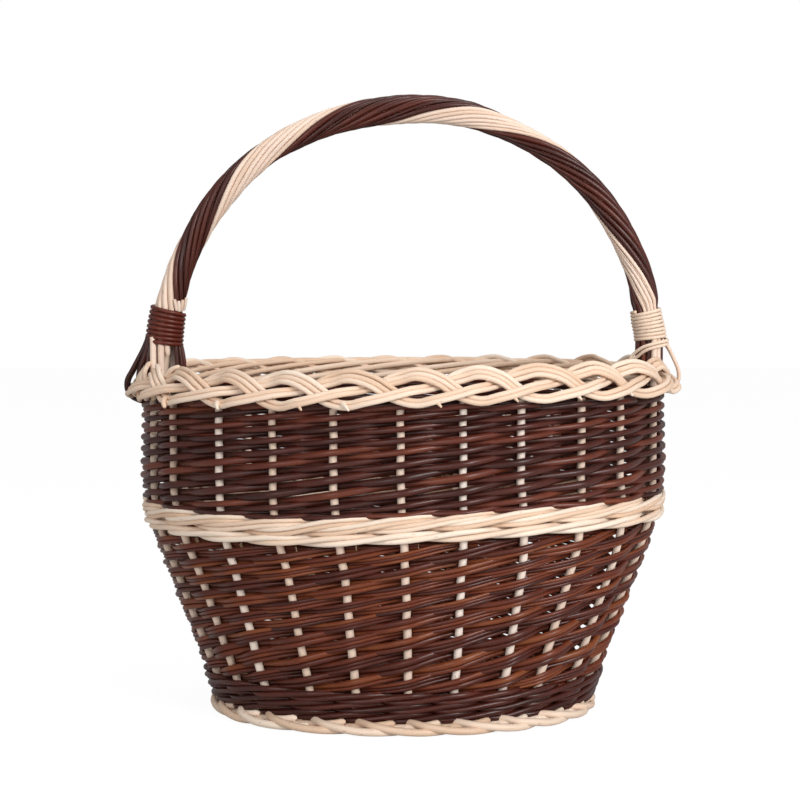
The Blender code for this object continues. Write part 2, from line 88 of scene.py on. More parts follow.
class Graph:
    def __init__(self, name):
        self.material = bpy.data.materials.new(name)
        self.material.use_nodes = True
        self.tree = self.material.node_tree
        self.shader = self.tree.nodes["Principled BSDF"]

    def node(self, kind, settings, sockets, output=0):
        made = self.tree.nodes.new(kind)
        for key, value in settings.items():
            if key == "stops":
                ramp = made.color_ramp.elements
                while len(ramp) < len(value):
                    ramp.new(0.5)
                for element, (place, colour) in zip(ramp, value):
                    element.position = place
                    element.color = (*colour, 1)
            else:
                setattr(made, key, value)
        for key, value in sockets.items():
            self.give(made.inputs[key], value)
        return Wire(self, made.outputs[output])

    def give(self, socket, value):
        if isinstance(value, Wire):
            self.tree.links.new(value.socket, socket)
        elif hasattr(value, "__len__") and len(value) == 3 and socket.type == "RGBA":
            socket.default_value = (*value, 1)
        else:
            socket.default_value = value

    def maths(self, operation, first, second=0.0):
        return self.node("ShaderNodeMath", {"operation": operation}, {0: first, 1: second})

    def step(self, value, ends):
        # 0 below the first end, 1 above the second
        settings = {"interpolation_type": "SMOOTHSTEP"}
        return self.node("ShaderNodeMapRange", settings, {0: value, 1: ends[0], 2: ends[1]})

    def noise(self, place, turns, length, detail, roughness):
        sockets = {"Vector": place(turns, length), "Scale": 1.0, "Detail": detail, "Roughness": roughness}
        return self.node("ShaderNodeTexNoise", {}, sockets)

    def spots(self, place, turns, length, ends):
        # 1 in the middle of scattered cells
        cells = self.node("ShaderNodeTexVoronoi", {}, {"Vector": place(turns, length), "Scale": 1.0})
        return 1.0 - self.step(cells, ends)

    def ramp(self, value, stops):
        return self.node("ShaderNodeValToRGB", {"stops": stops}, {0: value})

    def blend(self, amount, first, second):
        return self.node("ShaderNodeMix", {"data_type": "RGBA"}, {0: amount, 6: first, 7: second}, output=2)

    def put(self, socket, value):
        self.give(self.shader.inputs[socket], value)

    def surface(self, colour, roughness, height, pattern):
        self.put("Base Color", colour)
        self.put("Roughness", roughness)
        self.put("Specular IOR Level", pattern["specular"])
        sockets = {"Strength": pattern["bump"], "Distance": pattern["bumpDepth"], "Height": height}
        self.put("Normal", self.node("ShaderNodeBump", {}, sockets))
        return self.material


def rodPatterns(graph):
    # UV x is metres along the rod and y goes once round it, so no pattern shows a seam
    cut = graph.node("ShaderNodeAttribute", {"attribute_name": "cutEnd"}, {}, output=2)
    tone = graph.node("ShaderNodeAttribute", {"attribute_name": "rodTone"}, {}, output=2)
    sheet = graph.node("ShaderNodeUVMap", {"uv_map": "UVMap"}, {})
    parts = graph.tree.nodes.new("ShaderNodeSeparateXYZ")
    graph.give(parts.inputs[0], sheet)
    along = Wire(graph, parts.outputs[0]) * 1000.0 + tone * patternShift
    around = Wire(graph, parts.outputs[1]) * fullTurn
    side, front = graph.maths("COSINE", around), graph.maths("SINE", around)

    def place(turns, length):
        # turns of the pattern round the rod, millimetres along it
        sockets = {0: side * turns, 1: front * turns, 2: along * (1.0 / length)}
        return graph.node("ShaderNodeCombineXYZ", {}, sockets)

    return tone, cut, place


patternShift = 977.0  # millimetres between the patterns of the darkest and the lightest rod
barkPattern = {
    # noises: turns round the rod, millimetres along it, detail, roughness
    "blotch": (0.25, 26.0, 3.0, 0.5), "streak": (2.2, 9.0, 3.0, 0.6), "fine": (5.0, 3.5, 2.0, 0.6),
    "scuff": (1.1, 14.0, 4.0, 0.7), "scuffEnds": (0.70, 0.80),
    # spots: turns, millimetres, and where they begin and stop fading from their middle
    "fleck": (1.6, 1.9, (0.06, 0.17)), "flecking": 0.40,
    # shares of tone, blotch and streak, and what is taken off; the same of streak and cut ends
    "shade": (0.62, 0.50, 0.34, 0.24), "rough": (0.16, 0.25, 0.08),
    # shares of streak and fine lines, less flecks
    "height": (0.7, 0.3, 0.25), "bump": 0.35, "bumpDepth": 0.0003, "specular": 0.38,
}
peeledPattern = {
    "blotch": (0.3, 34.0, 3.0, 0.5), "grain": (3.2, 22.0, 4.0, 0.62), "fine": (7.0, 6.0, 2.0, 0.6),
    "stain": (0.7, 17.0, 3.0, 0.6), "stainEnds": (0.62, 0.78), "grainEnds": (0.52, 0.74),
    "knot": (0.8, 17.0, (0.05, 0.11)), "knotting": 0.7, "endGrain": 0.45,
    # as above, with grain for streak and knots for flecks
    "shade": (0.66, 0.46, 0.22, 0.18), "rough": (0.2, 0.2, 0.1),
    "height": (0.6, 0.4, 0.5), "bump": 0.28, "bumpDepth": 0.0003, "specular": 0.4,
}


def barkFinish(look):
    graph, pattern = Graph(look["name"]), barkPattern
    tone, cut, place = rodPatterns(graph)
    blotch, streak = graph.noise(place, *pattern["blotch"]), graph.noise(place, *pattern["streak"])
    fine, scuff = graph.noise(place, *pattern["fine"]), graph.noise(place, *pattern["scuff"])
    fleck = graph.spots(place, *pattern["fleck"])
    ofTone, ofBlotch, ofStreak, less = pattern["shade"]
    shade = tone * ofTone + blotch * ofBlotch + streak * ofStreak - less
    colour = graph.blend(fleck * pattern["flecking"], graph.ramp(shade, look["tones"]), look["fleck"])
    colour = graph.blend(graph.step(scuff, pattern["scuffEnds"]) * look["scuffing"], colour, look["wood"])
    colour = graph.blend(cut, colour, look["wood"])
    ofStreak, ofCut, less = pattern["rough"]
    rough = streak * ofStreak + cut * ofCut + (look["roughness"] - less)
    ofStreak, ofFine, ofFleck = pattern["height"]
    return graph.surface(colour, rough, streak * ofStreak + fine * ofFine - fleck * ofFleck, pattern)


def peeledFinish(look):
    graph, pattern = Graph(look["name"]), peeledPattern
    tone, cut, place = rodPatterns(graph)
    blotch, grain = graph.noise(place, *pattern["blotch"]), graph.noise(place, *pattern["grain"])
    fine, stain = graph.noise(place, *pattern["fine"]), graph.noise(place, *pattern["stain"])
    knot = graph.spots(place, *pattern["knot"])
    ofTone, ofBlotch, ofGrain, less = pattern["shade"]
    shade = tone * ofTone + blotch * ofBlotch + grain * ofGrain - less
    colour = graph.ramp(shade, look["tones"])
    colour = graph.blend(graph.step(grain, pattern["grainEnds"]) * look["graining"], colour, look["grain"])
    colour = graph.blend(graph.step(stain, pattern["stainEnds"]) * look["staining"], colour, look["stain"])
    colour = graph.blend(knot * pattern["knotting"], colour, look["knot"])
    colour = graph.blend(cut * pattern["endGrain"], colour, look["grain"])
    ofGrain, ofCut, less = pattern["rough"]
    rough = grain * ofGrain + cut * ofCut + (look["roughness"] - less)
    ofGrain, ofFine, ofKnot = pattern["height"]
    return graph.surface(colour, rough, grain * ofGrain + fine * ofFine - knot * ofKnot, pattern)


darkLook = {
    "name": "dark_brown_bark",
    "tones": (
        (0.10, (0.028, 0.0060, 0.0042)), (0.36, (0.056, 0.0112, 0.0070)),
        (0.62, (0.098, 0.0195, 0.0108)), (0.88, (0.170, 0.0400, 0.0160)),
    ),
    "fleck": (0.26, 0.15, 0.09), "wood": (0.62, 0.45, 0.28), "scuffing": 0.22, "roughness": 0.33,
}
russetLook = {
    "name": "russet_bark",
    "tones": (
        (0.10, (0.038, 0.0078, 0.0048)), (0.38, (0.082, 0.0150, 0.0074)),
        (0.62, (0.145, 0.0290, 0.0100)), (0.90, (0.235, 0.0640, 0.0160)),
    ),
    "fleck": (0.32, 0.17, 0.09), "wood": (0.66, 0.48, 0.30), "scuffing": 0.22, "roughness": 0.33,
}
reddishLook = {
    "name": "reddish_bark",
    "tones": (
        (0.15, (0.062, 0.0100, 0.0062)), (0.50, (0.118, 0.0200, 0.0105)), (0.85, (0.175, 0.0370, 0.0160)),
    ),
    "fleck": (0.30, 0.14, 0.09), "wood": (0.66, 0.48, 0.30), "scuffing": 0.10, "roughness": 0.33,
}
peeledLook = {
    "name": "peeled_rods",
    "tones": (
        (0.12, (0.700, 0.480, 0.330)), (0.38, (0.810, 0.600, 0.450)),
        (0.64, (0.860, 0.680, 0.540)), (0.90, (0.910, 0.780, 0.650)),
    ),
    "grain": (0.640, 0.430, 0.240), "graining": 0.30, "stain": (0.700, 0.400, 0.190), "staining": 0.30,
    "knot": (0.300, 0.150, 0.070), "roughness": 0.52,
}
creamLook = {
    "name": "cream_rods",
    "tones": (
        (0.12, (0.760, 0.560, 0.430)), (0.40, (0.850, 0.670, 0.550)),
        (0.66, (0.890, 0.740, 0.640)), (0.90, (0.930, 0.820, 0.730)),
    ),
    "grain": (0.600, 0.400, 0.250), "graining": 0.30, "stain": (0.640, 0.360, 0.200), "staining": 0.24,
    "knot": (0.300, 0.150, 0.080), "roughness": 0.52,
}
darkBark = barkFinish(darkLook)
russetBark = barkFinish(russetLook)
reddishBark = barkFinish(reddishLook)
peeledWood = peeledFinish(peeledLook)
creamWood = peeledFinish(creamLook)
print("finishes made")


# Rods

def distances(spots):
    # how far along the path each place lies
    return np.concatenate([[0.0], np.cumsum(np.linalg.norm(np.diff(spots, axis=0), axis=1))])


class RodPiece:
    # gathers willow rods in one mesh; each rod is a curve with a round bevel, turned into faces
    def __init__(self, name):
        self.name = name
        self.mesh = bmesh.new()

    def add(self, points, radius, tone=None, sides=8, closed=False):
        radii = radius if hasattr(radius, "__len__") else [radius] * len(points)
        tone = chance.random() if tone is None else tone
        data = bpy.data.curves.new("rod", "CURVE")
        data.dimensions = "3D"
        data.use_fill_caps = True
        data.bevel_depth = 1.0
        data.bevel_resolution = sides // 2 - 2
        spline = data.splines.new("POLY")
        spline.points.add(len(points) - 1)
        spline.points.foreach_set("co", [value for place in points for value in (*place, 1.0)])
        spline.points.foreach_set("radius", radii)
        spline.use_cyclic_u = closed
        spline.use_smooth = True
        holder = bpy.data.objects.new("rod", data)
        tube = bpy.data.meshes.new_from_object(holder)
        spots = np.array([tuple(place) for place in points] + ([tuple(points[0])] if closed else []))
        sheet = np.empty(2 * len(tube.loops), dtype=np.float32)
        tube.uv_layers[0].data.foreach_get("uv", sheet)
        sheet[::2] = np.interp(sheet[::2] * (len(spots) - 1), range(len(spots)), distances(spots))
        tube.uv_layers[0].data.foreach_set("uv", sheet)
        corners = np.empty(len(tube.polygons), dtype=np.int32)
        tube.polygons.foreach_get("loop_total", corners)
        for name, values in (("cutEnd", corners == 3), ("rodTone", np.full(len(corners), tone))):
            tube.attributes.new(name, "FLOAT", "FACE").data.foreach_set("value", values.astype(np.float32))
        tube.polygons.foreach_set("use_smooth", corners == 4)
        self.mesh.from_mesh(tube)
        bpy.data.objects.remove(holder)
        bpy.data.curves.remove(data)
        bpy.data.meshes.remove(tube)

    def addRounds(self, place, posts, rounds, sides):
        # closed rods all the way round, four places from post to post
        for height, out, radius in rounds:
            points = [place(part / 4, height, out) for part in range(4 * posts)]
            self.add(points, radius, sides=sides, closed=True)

    def finish(self, material, slot, *nodes):
        bmesh.ops.remove_doubles(self.mesh, verts=self.mesh.verts[:], dist=1e-6)
        for edge in self.mesh.edges:
            if len({face.smooth for face in edge.link_faces}) > 1:
                edge.smooth = False  # the rim of a cut end
        piece = meshPiece(self.name, self.mesh, material)
        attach(piece, "root")
        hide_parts(*nodes)
        print(self.name, len(piece.data.polygons), "faces")


def numbered(name, count, digits=1):
    return [f"{name}_{index + 1:0{digits}d}" for index in range(count)]


def smoothPath(spots, parts):
    # a rounded path through a few places
    path = []
    last = len(spots) - 1
    for index in range(last):
        a, b, c, d = (Vector(spots[min(max(index + step, 0), last)]) for step in (-1, 0, 1, 2))
        for part in range(parts):
            t = part / parts
            bend = 2 * b + (c - a) * t + (2 * a - 5 * b + 4 * c - d) * t * t
            path.append(0.5 * (bend + (3 * b - a - 3 * c + d) * t ** 3))
    path.append(Vector(spots[last]))
    return path


def eased(share):
    return share * share * (3 - 2 * share)


pointShares = (0.8, 0.35)  # what is left of the last two radii at a pointed end


def taper(count, thick, thin, pointed=False):
    radii = [thick + (thin - thick) * index / (count - 1) for index in range(count)]
    if pointed:
        radii[-2:] = [radius * share for radius, share in zip(radii[-2:], pointShares)]
    return radii


class Wander:
    # a small drift that changes smoothly from place to place along a rod
    def __init__(self, reach, count, closed=False):
        self.values = [chance.uniform(-reach, reach) for _ in range(count + 3)]
        if closed:
            self.values[count] = self.values[0]

    def at(self, place):
        index = int(place)
        share = eased(place - index)
        return self.values[index] * (1 - share) + self.values[index + 1] * share


# Wall of the basket

wall = {
    "stakes": 24,
    # height, half length and half width, to the middle of the stakes
    "outline": ((0.0133, 0.1395, 0.1050), (0.1355, 0.18685, 0.14097), (0.1595, 0.1915, 0.1445)),
    "bendRounding": 0.008, "ovalSamples": 4800,
    "stakeRadius": 0.0029, "stakeFoot": 0.0140, "stakeTop": 0.2387, "endStakeTop": 0.2315,
    "stakeParts": 26, "stakeWander": 0.0005, "stakeSpread": (0.94, 1.04), "stakeTaper": (1.04, 0.94),
    "endShift": 0.00305,  # an end stake makes room for the tip of the bow
    # handmade rows are not level: degrees from the right end, height gained at the pale band
    "bandLift": (
        (0, 0.0070), (45, 0.0055), (90, 0.0030), (135, 0.0015), (180, 0.0005), (210, -0.0008), (245, -0.0020),
        (259, 0.0002), (276, 0.0030), (288, 0.0047), (303, 0.0064), (345, 0.0070),
    ),
    "liftHeights": (0.0345, 0.1475, 0.2319),
    # nor do the stakes stand evenly: height, then steps that each stake of the front half is moved
    "driftStakes": tuple(range(12, 25)),
    "drift": (
        (0.045, (0, 0, -0.03, -0.16, -0.04, 0, 0.10, 0.08, 0.17, 0.05, 0.14, 0.10, 0)),
        (0.112, (0, 0, 0, -0.06, 0, 0.02, 0.04, -0.02, 0.05, 0.05, 0.10, 0.08, 0)),
        (0.175, (0, -0.10, -0.25, -0.12, -0.11, -0.10, -0.04, -0.06, -0.12, -0.01, -0.12, 0.14, 0)),
    ),
}
wallEnds = (0, wall["stakes"] // 2)
rimHeight, *rimSize = wall["outline"][-1]
liftDegrees, liftGains = zip(*wall["bandLift"])


def ovalTable(halfLength, halfWidth):
    # share of the way round against the angle, so that stakes are spaced evenly
    angles = np.linspace(0.0, fullTurn, wall["ovalSamples"] + 1)
    reached = distances(np.stack([halfLength * np.cos(angles), halfWidth * np.sin(angles)], axis=1))
    return reached / reached[-1], angles


wallShares, wallAngles = ovalTable(*rimSize)


def wallAngle(step):
    # step counts stakes from the right end, counter-clockwise from above
    turns, share = divmod(step / wall["stakes"], 1.0)
    return float(np.interp(share, wallShares, wallAngles)) + turns * fullTurn


def wallSize(height):
    # half length and half width, rounded where the wall bends and carried on below its foot
    heights, lengths, widths = zip(*wall["outline"])
    spread = (height - wall["bendRounding"], height, height + wall["bendRounding"])
    low = (height - heights[0]) / (heights[1] - heights[0])
    if height < heights[0] + wall["bendRounding"]:
        spread = (height,)
    sizes = []
    for values in (lengths, widths):
        mean = float(np.mean(np.interp(spread, heights, values)))
        sizes.append(mean + (values[1] - values[0]) * min(low, 0.0))
    return sizes


def wallLift(angle, height):
    gain = float(np.interp(math.degrees(angle), liftDegrees, liftGains, period=360))
    return gain * float(np.interp(height, wall["liftHeights"], (0, 1, 0)))


def wallDrift(step, height):
    heights, rows = zip(*wall["drift"])
    moves = [np.interp(step % wall["stakes"], wall["driftStakes"], row) for row in rows]
    return float(np.interp(height, heights, moves))


def wallPoint(step, height, out=0.0):
    angle = wallAngle(step + wallDrift(step, height))
    height += wallLift(angle, height)
    halfLength, halfWidth = wallSize(height)
    across, along = math.cos(angle), math.sin(angle)
    normal = Vector((halfWidth * across, halfLength * along, 0.0)).normalized()
    return Vector((halfLength * across, halfWidth * along, height)) + normal * out


def wallTangent(step, height, near=0.02):
    return (wallPoint(step + near, height) - wallPoint(step - near, height)).normalized()


def makeStakes():
    piece = RodPiece("wall_stakes")
    parts = wall["stakeParts"]
    for index in range(wall["stakes"]):
        top = wall["endStakeTop"] if index in wallEnds else wall["stakeTop"]
        drift = Wander(wall["stakeWander"], parts)
        points = []
        for part in range(parts + 1):
            height = wall["stakeFoot"] + (top - wall["stakeFoot"]) * part / parts
            along = wallTangent(index, height)
            place = wallPoint(index, height) + along * drift.at(part)
            if index in wallEnds:
                place += along * wall["endShift"]
            points.append(place)
        thick = wall["stakeRadius"] * chance.uniform(*wall["stakeSpread"])
        piece.add(points, taper(len(points), *(thick * share for share in wall["stakeTaper"])), sides=10)
    piece.finish(creamWood, "cream_willow", *numbered("stake", wall["stakes"], 2))


def swing(level, tightness):
    # 1 outside even stakes, -1 inside odd ones, nearly straight between
    return math.asin(tightness * math.cos(math.pi * level)) / math.asin(tightness)


weaving = {
    # a rod starts this far before its own stake and ends this far before its last one, in stakes
    "start": 0.72, "end": 0.75,
    # how far the rods of a bundle keep apart at the top and bottom of the band, in radii
    "stacking": 0.8,
    # what each rod wanders on its own, and in and out, in shares of the bundle's wander
    "ownWander": 0.6, "depthWander": 0.8, "spread": (0.95, 1.06), "parts": 8, "sides": 8,
}


def makeSlantedBand(name, look, material, slot, nodes):
    # one bundle starts at each stake and rises a row at every stake it passes
    piece = RodPiece(name)
    parts, stacking = weaving["parts"], weaving["stacking"]
    levels, levelHeights = zip(*look["heights"])
    rows, base, top = levels[-1], levelHeights[0], levelHeights[-1]

    def rowHeight(level):
        return float(np.interp(level + 0.5, levels, levelHeights))

    for first in range(wall["stakes"]):
        bundle = look["bundles"][chance.choices(range(len(look["bundles"])), look["often"])[0]]
        rise = Wander(look["wander"], rows + 1)
        for number, (high, thickness) in enumerate(bundle):
            thick = thickness * chance.uniform(*weaving["spread"])
            ownRise = Wander(look["wander"] * weaving["ownWander"], rows + 1)
            depth = Wander(look["wander"] * weaving["depthWander"], rows + 1)
            points, radii = [], []
            for part in range(round(-weaving["start"] * parts), round((rows - weaving["end"]) * parts) + 1):
                level = part / parts
                wave = math.sin(math.pi * level)  # above 0 on the way in, below 0 on the way out
                pitch = max((rowHeight(level + 1) - rowHeight(level - 1)) / 2, look["leastPitch"])
                radius = thick * pitch
                floor = base + radius * (1 + stacking * number)
                ceiling = top - radius * (1 + stacking * (len(bundle) - 1 - number))
                height = rowHeight(level) + (look["slant"] * wave / math.pi + high) * pitch
                height += rise.at(level + 1) + ownRise.at(level + 1) * (1 + look["crowd"] * abs(wave))
                reach = (wall["stakeRadius"] + radius) * look["lean"]
                out = swing(level, look["tightness"]) * reach + depth.at(level + 1) - look["nest"] * wave
                points.append(wallPoint(first + level, min(max(height, floor), ceiling), out))
                radii.append(radius)
            piece.add(points, radii, sides=weaving["sides"])
    piece.addRounds(wallPoint, wall["stakes"], look["packing"], weaving["sides"])
    piece.finish(material, slot, *nodes)


upperBand = {
    # rows passed and height, so the rows lie closer towards the top
    "heights": (
        (0, 0.1560), (1.5, 0.1612), (3.5, 0.1689), (5.5, 0.1791), (7.5, 0.1892), (9.5, 0.1985),
        (11.5, 0.2071), (13.5, 0.2153), (15.5, 0.2230), (17.5, 0.2310), (19, 0.2372),
    ),
    # rods laid together: how high each lies and its radius, in parts of a row
    "bundles": (((0.0, 0.552),),), "often": (1,), "leastPitch": 0.0038,
    "slant": 0.30, "nest": 0.0002, "wander": 0.00026, "tightness": 0.90, "crowd": 0.4, "lean": 0.97,
    # rods packed against the inner side: height, distance out, radius
    "packing": ((0.2362, -0.0050, 0.0020), (0.2398, -0.0046, 0.0018)),
}
lowerBand = {
    "heights": (
        (0, 0.0235), (1.5, 0.0290), (3.5, 0.0425), (5.5, 0.0590), (7.5, 0.0740), (9.5, 0.0874),
        (11.5, 0.0996), (13.5, 0.1116), (15.5, 0.1234), (17.5, 0.1348), (18, 0.1376),
    ),
    "bundles": (
        ((-0.28, 0.298), (0.28, 0.298)),
        ((-0.38, 0.212), (0.0, 0.206), (0.38, 0.212)),
        ((-0.33, 0.250), (0.23, 0.325)),
    ),
    "often": (4, 5, 3), "leastPitch": 0.0045,
    "slant": 0.36, "nest": 0.0002, "wander": 0.00028, "tightness": 0.90, "crowd": 0.6, "lean": 0.94,
    "packing": ((0.1352, -0.0056, 0.0019), (0.1388, -0.0052, 0.0019)),
}


def makeWale(name, look, material, slot, nodes):
    # three weavers a row, each outside two stakes and inside the next, so their strokes slant upwards
    piece = RodPiece(name)
    stakes, parts = wall["stakes"], waling["parts"]
    for centre, climb, bundle in look["rows"]:
        for weaver in range(3):
            drift = Wander(look["wander"], stakes, closed=True)
            for high, radius in bundle:
                own = Wander(look["wander"] * waling["ownWander"], stakes, closed=True)
                points = []
                for part in range(stakes * parts):
                    step = part / parts
                    share = ((step - weaver) / 3) % 1.0  # 0 at the stake it passes inside
                    near = min(share, 1.0 - share)
                    side = -math.cos(3 * math.pi * near) if near < 1 / 3 else 1.0
                    bulge = look["bulge"] * max(0.0, math.sin(math.pi * (share * 1.5 - 0.25)))
                    out = side * (wall["stakeRadius"] + radius) * waling["lean"] + bulge
                    height = centre - climb * math.sin(fullTurn * share) + high
                    height += drift.at(step) + own.at(step)
                    points.append(wallPoint(step, height, out))
                thick, tone = radius * chance.uniform(*waling["spread"]), chance.uniform(*look["tones"])
                piece.add(points, thick, tone, waling["sides"], closed=True)
    piece.finish(material, slot, *nodes)


waling = {"ownWander": 0.6, "lean": 1.05, "spread": (0.95, 1.03), "parts": 8, "sides": 10}
upsettBand = {
    # height of the row, climb of a stroke, rods laid together as height and radius
    "rows": (
        (0.0112, 0.0026, ((0.0, 0.00225),)),
        (0.0181, 0.0026, ((0.0, 0.00215),)),
        (0.0249, 0.0026, ((0.0, 0.00215),)),
    ),
    "bulge": 0.0004, "wander": 0.0003, "tones": (0.0, 0.45),  # 0 is the darkest
}
bellyBand = {
    "rows": (
        (0.1422, 0.0023, ((0.0, 0.00205),)),
        (0.1518, 0.0034, ((-0.00155, 0.00172), (0.00155, 0.00172))),
    ),
    "bulge": 0.0010, "wander": 0.00035, "tones": (0.0, 1.0),
}

makeStakes()
makeWale("upsett_rods", upsettBand, darkBark, "dark_brown_willow", ["upsett_wale"])
makeSlantedBand("lower_rods", lowerBand, russetBark, "russet_willow", ["lower_weaver_a", "lower_weaver_b"])
makeWale("belly_rods", bellyBand, peeledWood, "peeled_willow", ["belly_wale"])
makeSlantedBand("upper_rods", upperBand, darkBark, "dark_brown_willow", ["upper_weaver_a", "upper_weaver_b"])
print("wall woven")


# Foot border

foot = {
    "radius": 0.0030, "spread": (0.92, 1.0), "thinning": 0.9, "sides": 10,
    # stakes on from its own, height, share of the way out to the edge
    "stroke": (
        (-0.06, 0.0074, 0.05), (0.12, 0.0074, 0.44), (0.38, 0.0068, 0.82), (0.75, 0.0052, 1.0),
        (1.10, 0.0038, 1.04), (1.50, 0.0032, 0.94), (1.90, 0.0032, 0.62), (2.30, 0.0042, 0.05),
    ),
    "peak": ((-0.24, 0.0034, 0.34), (0.16, 0.0050, 0.54), (0.50, 0.0066, 0.52), (0.74, 0.0078, 0.34)),
    # stakes a rod is early or late, and what it lies higher or lower where it is off the floor
    "late": 0.05, "uneven": 0.0003, "floorLayer": 0.004,
    # degrees from the end of the oval, reach of the edge beyond the stakes
    "edge": ((0, 0.0070), (20, 0.0106), (40, 0.0176), (60, 0.0204), (90, 0.0206)),
    # rods inside the border: height, distance out, radius; then height, share of the way to the edge, radius
    "rounds": ((0.0027, -0.0125, 0.0024), (0.0065, -0.0100, 0.0024), (0.0080, -0.0020, 0.0024)),
    "outerRounds": ((0.0046, 0.20, 0.0024), (0.0030, 0.48, 0.0024)),
}
footDegrees, footReach = zip(*foot["edge"])


def footPoint(step, height, share):
    angle = abs(math.degrees(math.asin(math.sin(wallAngle(step)))))
    return wallPoint(step, height, share * float(np.interp(angle, footDegrees, footReach)))


def makeFoot():
    piece = RodPiece("foot_border_rods")
    for index in range(wall["stakes"]):
        for key, pointed in (("stroke", False), ("peak", True)):
            late = chance.uniform(-foot["late"], foot["late"])
            spots = []
            for step, height, share in foot[key]:
                if height > foot["floorLayer"]:
                    height += chance.uniform(-foot["uneven"], foot["uneven"])
                spots.append(footPoint(index + step + late, height, share))
            points = smoothPath(spots, 5)
            thick = foot["radius"] * chance.uniform(*foot["spread"])
            radii = taper(len(points), thick, thick * foot["thinning"], pointed)
            piece.add(points, radii, sides=foot["sides"])
    piece.addRounds(wallPoint, wall["stakes"], foot["rounds"], foot["sides"])
    piece.addRounds(footPoint, wall["stakes"], foot["outerRounds"], foot["sides"])
    piece.finish(peeledWood, "peeled_willow", "foot_border")


makeFoot()


# Plait along the rim

plait = {
    "swing": 0.0103, "warp": 0.25, "backCrest": 0.36, "depth": 0.0031, "snap": 0.35,
    "overhang": 0.0065, "centreHeight": 0.2466, "slope": math.radians(52.0), "stakesPerTurn": 3,
    "plumbHeight": 0.02, "spacingHeight": 0.24, "wander": 0.0003, "spread": (0.96, 1.03),
    "parts": 12, "sides": 10,
    # across the strand, radius; the first rod slips behind the others along the lower edge
    "rods": ((-0.0040, 0.00188), (0.0, 0.00194), (0.0039, 0.00190)),
    "tuckMiddle": 1.25 * math.pi, "tuckSharpness": 0.9, "tuckReach": 1.1, "tuckDepth": 0.0034,
    # cut ends under the lower edge, as stakes counted from the right end
    "cutEnds": (15.30, 16.62, 17.30, 18.60, 19.80, 20.76, 21.84, 22.84, 1.66, 3.40, 5.44, 8.74, 10.30),
    "cutLean": 0.10, "cutRoot": -0.0020, "cutTip": 0.0044, "cutRadius": 0.0023, "cutShare": 0.25,
    # two that reach further: stake and distance down the face, for the root and the tip
    "longEnds": ((14.18, 0.0110, 14.34, 0.0195), (13.80, -0.0090, 14.10, -0.0165)), "longShare": 0.7,
    # how far root, middle and tip of a cut end lie off the face
    "cutLifts": (-0.0010, 0.0014, 0.0008),
    # rods that climb the inner side of the rim: stakes on from its own, height, distance out
    "lining": (
        (0.30, 0.2396, -0.0056), (-0.60, 0.2452, -0.0056), (-1.50, 0.2508, -0.0044),
        (-2.30, 0.2548, -0.0024), (-3.00, 0.2568, 0.0000), (-3.60, 0.2562, 0.0024),
    ),
    # lining rods take only the darker half of the tones, painted shade on the inner side of the rim
    "liningRadius": 0.0023, "liningSpread": (0.85, 1.05), "liningThinning": 0.85, "liningShadeTones": (0.0, 0.5),
    "liningLate": 0.12, "liningLow": 0.0014,
    # the middle of a lining rod in stakes back from its own, and the sine of the angle where they stop
    "liningMiddle": 1.6, "liningFront": -0.35,
}


def plaitPoint(step, down, lift):
    # down the sloping face of the plait, and lifted off it
    out = plait["overhang"] + down * math.cos(plait["slope"]) + lift * math.sin(plait["slope"])
    high = plait["centreHeight"] - down * math.sin(plait["slope"]) + lift * math.cos(plait["slope"])
    plumb = rimHeight + plait["plumbHeight"]  # above the bend of the wall, where rows are level
    return wallPoint(step, plumb, out) + (high - plumb) * up


def strandPhase(strand, step):
    even = fullTurn * (step + strand) / plait["stakesPerTurn"]
    return even - plait["warp"] * math.cos(even)  # a strand drops faster than it climbs


def strandDown(strand, step):
    # the crests are lower at the back
    wave = math.cos(strandPhase(strand, step))
    crest = plait["backCrest"] * max(0.0, math.sin(wallAngle(step)))
    return -plait["swing"] * wave * (1 - crest * max(0.0, wave))


def makeStrands(piece, near=0.05):
    stakes = wall["stakes"]
    spacing = (wallPoint(0.5, plait["spacingHeight"]) - wallPoint(-0.5, plait["spacingHeight"])).length
    for strand in range(3):
        for index, (across, radius) in enumerate(plait["rods"]):
            wave = Wander(plait["wander"], stakes, closed=True)
            points = []
            for part in range(stakes * plait["parts"]):
                step = part / plait["parts"]
                phase = strandPhase(strand, step)
                tilt = strandDown(strand, step + near) - strandDown(strand, step - near)
                tilt /= 2 * near * spacing
                weave = math.sin(2.0 * phase)
                lift = plait["depth"] * weave / math.sqrt(weave * weave + plait["snap"])
                side = across
                if index == 0:
                    tuck = 0.5 + plait["tuckSharpness"] * math.cos(phase - plait["tuckMiddle"])
                    tuck = eased(min(max(tuck, 0.0), 1.0))
                    side *= 1 - plait["tuckReach"] * tuck
                    lift -= plait["tuckDepth"] * tuck
                size = math.hypot(1.0, tilt)
                down = strandDown(strand, step) + side / size + wave.at(step)
                points.append(plaitPoint(step - side * tilt / size / spacing, down, lift))
            thick = radius * chance.uniform(*plait["spread"])
            piece.add(points, thick, sides=plait["sides"], closed=True)


def makeCutEnds(piece):
    cuts = [(*place, plait["longShare"], True) for place in plait["longEnds"]]
    for step in plait["cutEnds"]:
        edge = max(strandDown(strand, step) for strand in range(3)) + plait["rods"][2][0]
        places = (step - plait["cutLean"], edge + plait["cutRoot"], step, edge + plait["cutTip"])
        cuts.append((*places, plait["cutShare"], False))
    for root, rootDown, tip, tipDown, share, pointed in cuts:
        spots = ((root, rootDown), ((root + tip) / 2, (rootDown + tipDown) / 2), (tip, tipDown))
        points = smoothPath([plaitPoint(*spot, lift) for spot, lift in zip(spots, plait["cutLifts"])], 5)
        piece.add(points, taper(len(points), plait["cutRadius"], plait["cutRadius"] * share, pointed))


